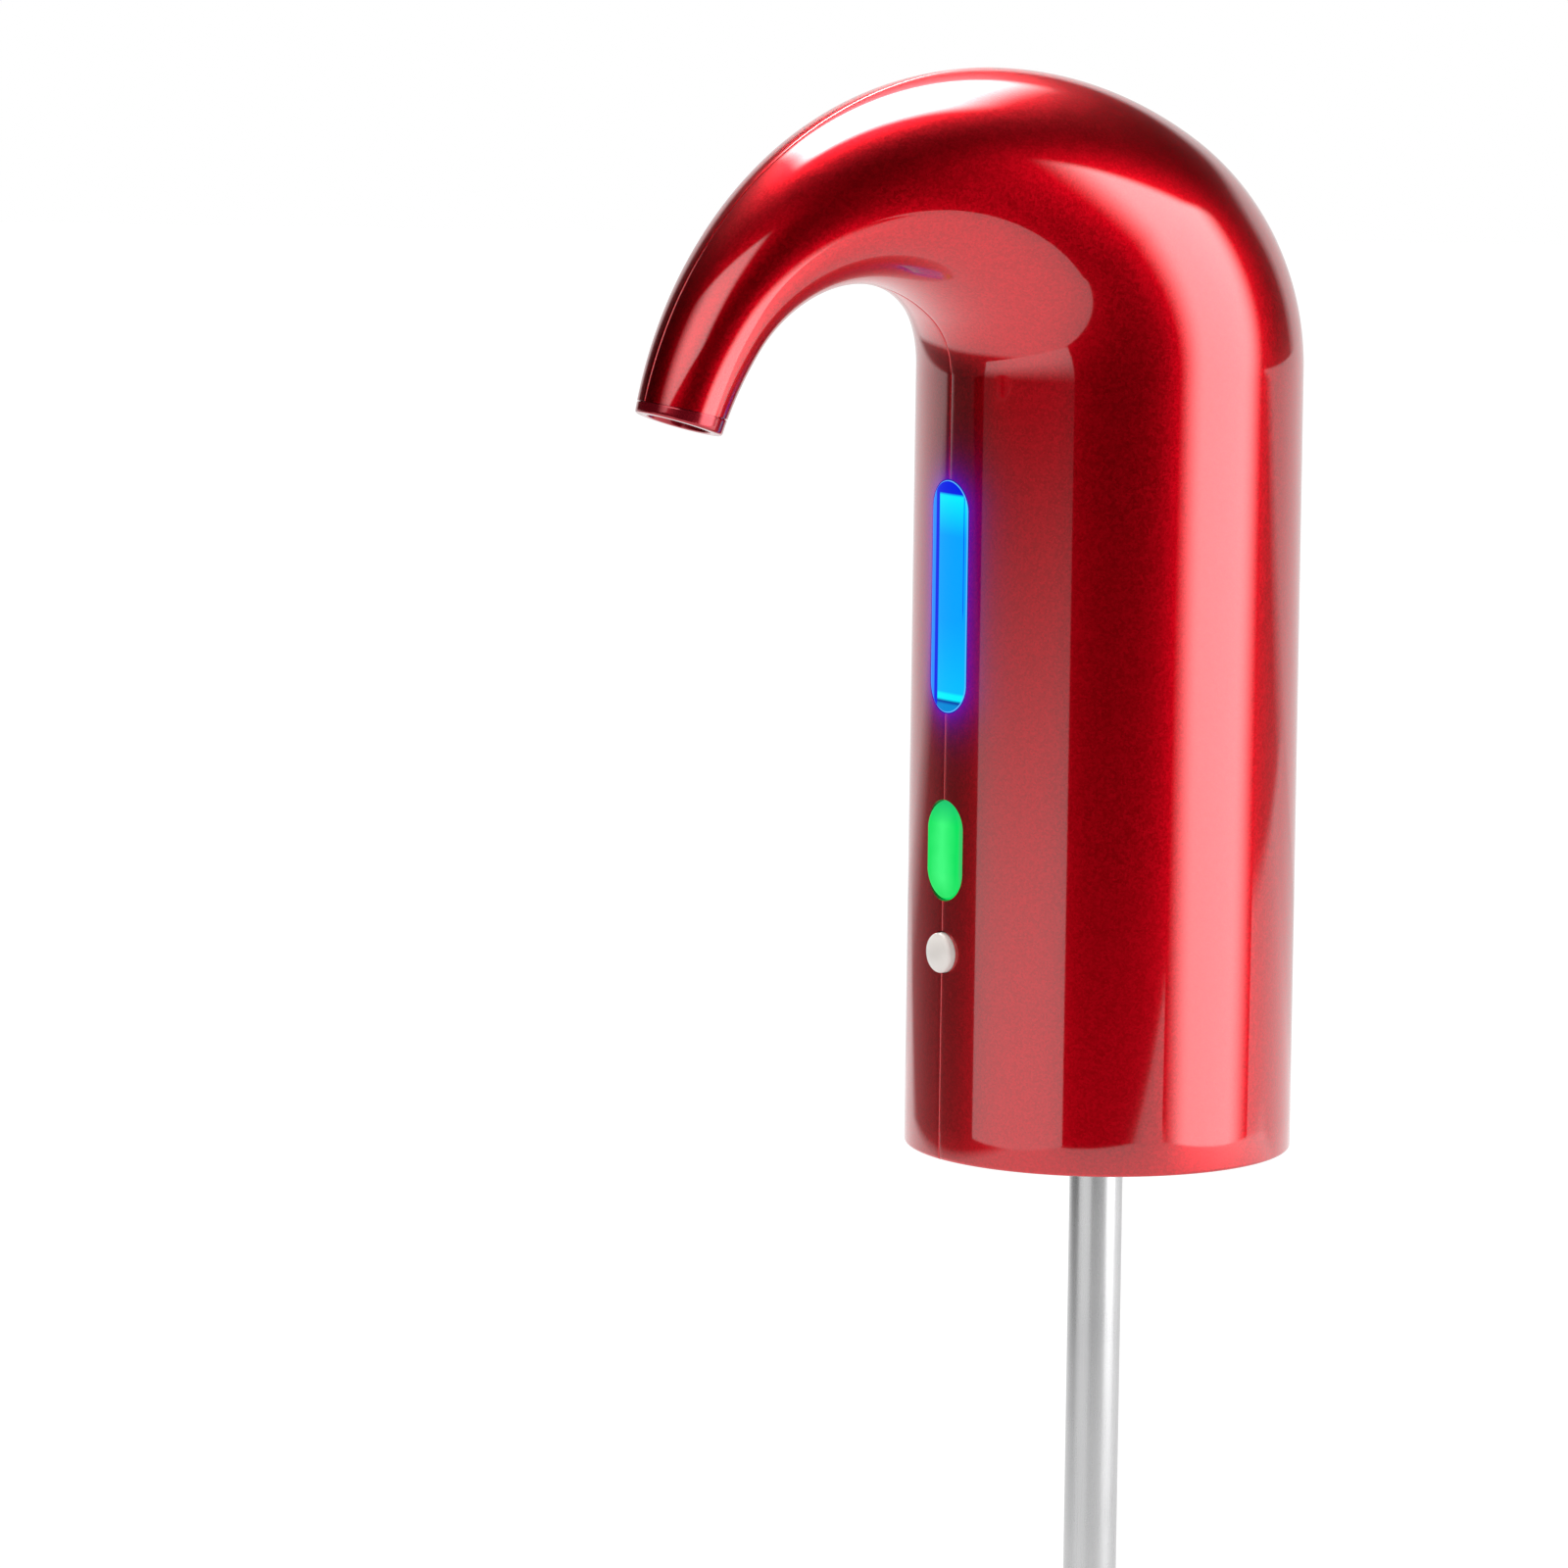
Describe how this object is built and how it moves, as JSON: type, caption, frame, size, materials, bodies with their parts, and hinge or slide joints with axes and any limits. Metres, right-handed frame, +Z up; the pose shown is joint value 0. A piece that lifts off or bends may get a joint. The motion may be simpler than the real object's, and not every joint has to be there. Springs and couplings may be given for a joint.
{
  "type": "drink pourer",
  "caption": "Electric pouring and aerating spout: a curved crook housing over a stopper with a telescopic tube, a push button, a light window and a charging port.",
  "frame": {"origin": "on the stopper's axis, in the plane of its flange's underside, which rests on the mouth of the neck", "axes": "+Z up along the stopper and the housing, the spout points towards -X and down, +Y to the part's right seen from behind the spout"},
  "size_m": [0.1117, 0.058, 0.2818],
  "materials": {
    "red_lacquer": "gloss metallic lacquer over moulded plastic",
    "red_trim": "gloss",
    "nozzle_plastic": "gloss",
    "black_plastic": "fine matt",
    "white_plastic": "satin",
    "warm_white_plastic": "satin",
    "black_silicone": "matt",
    "clear_grey_plastic": "gloss",
    "clear_silicone": "satin, milky",
    "clear_acrylic": "polished",
    "tube_steel": "drawn, satin",
    "screw_steel": "zinc plated",
    "battery_can": "shrink sleeve",
    "green_board": "solder mask",
    "lit_green": "frosted, lit from behind",
    "lit_blue": "frosted, lit from behind",
    "led_white": "gloss"
  },
  "bodies": {
    "body": {"left_housing": "red_lacquer", "right_housing": "red_lacquer", "spout_collar": "red_trim", "spout_nozzle": "nozzle_plastic", "base_socket": "black_plastic", "base_screws": "screw_steel", "stopper": "black_silicone", "flow_connector": "clear_grey_plastic", "upper_tube": "tube_steel", "pour_hose": "clear_silicone", "air_hose": "clear_silicone", "inner_frame": "white_plastic", "frame_screws": "screw_steel", "pump_head": "black_plastic", "pump_screws": "screw_steel", "diaphragm": "black_silicone", "wobble_plate": "white_plastic", "pump_body": "black_plastic", "pump_motor": "tube_steel", "battery": "battery_can", "circuit_board": "green_board", "board_screws": "screw_steel", "power_switch": "black_plastic", "small_switch": "black_plastic", "light_window": "lit_blue", "light_guide": "clear_acrylic", "light_emitters": "led_white", "button_lights": "led_white", "charge_board": "green_board", "usb_socket": "tube_steel"},
    "power_button": {"power_button": "lit_green", "power_switch_plunger": "white_plastic"},
    "small_button": {"small_button": "warm_white_plastic", "small_switch_plunger": "white_plastic"},
    "lower_tube": {"lower_tube": "tube_steel", "inlet_foot": "black_plastic"},
    "rotor": {"motor_shaft": "screw_steel", "eccentric": "white_plastic"},
    "port_cover": {"port_cover": "black_silicone"}
  },
  "joints": [
    {"name": "power_button_press", "type": "slide", "parent": "body", "child": "power_button", "axis": [1, 0, 0], "range_m": [0, 0.0005], "stiffness_N_per_m": 500},
    {"name": "small_button_press", "type": "slide", "parent": "body", "child": "small_button", "axis": [1, 0, 0], "range_m": [0, 0.0005], "stiffness_N_per_m": 500},
    {"name": "tube_slide", "type": "slide", "parent": "body", "child": "lower_tube", "axis": [0, 0, -1], "range_m": [0, 0.118]},
    {"name": "motor_spin", "type": "hinge", "parent": "body", "child": "rotor", "pos_m": [0.0128, 0, 0.05], "axis": [0, 0, 1], "continuous": true},
    {"name": "port_cover_flap", "type": "hinge", "parent": "body", "child": "port_cover", "pos_m": [0.0289, 0, -0.0123], "axis": [0, 1, 0], "range_deg": [0, 110]}
  ]
}
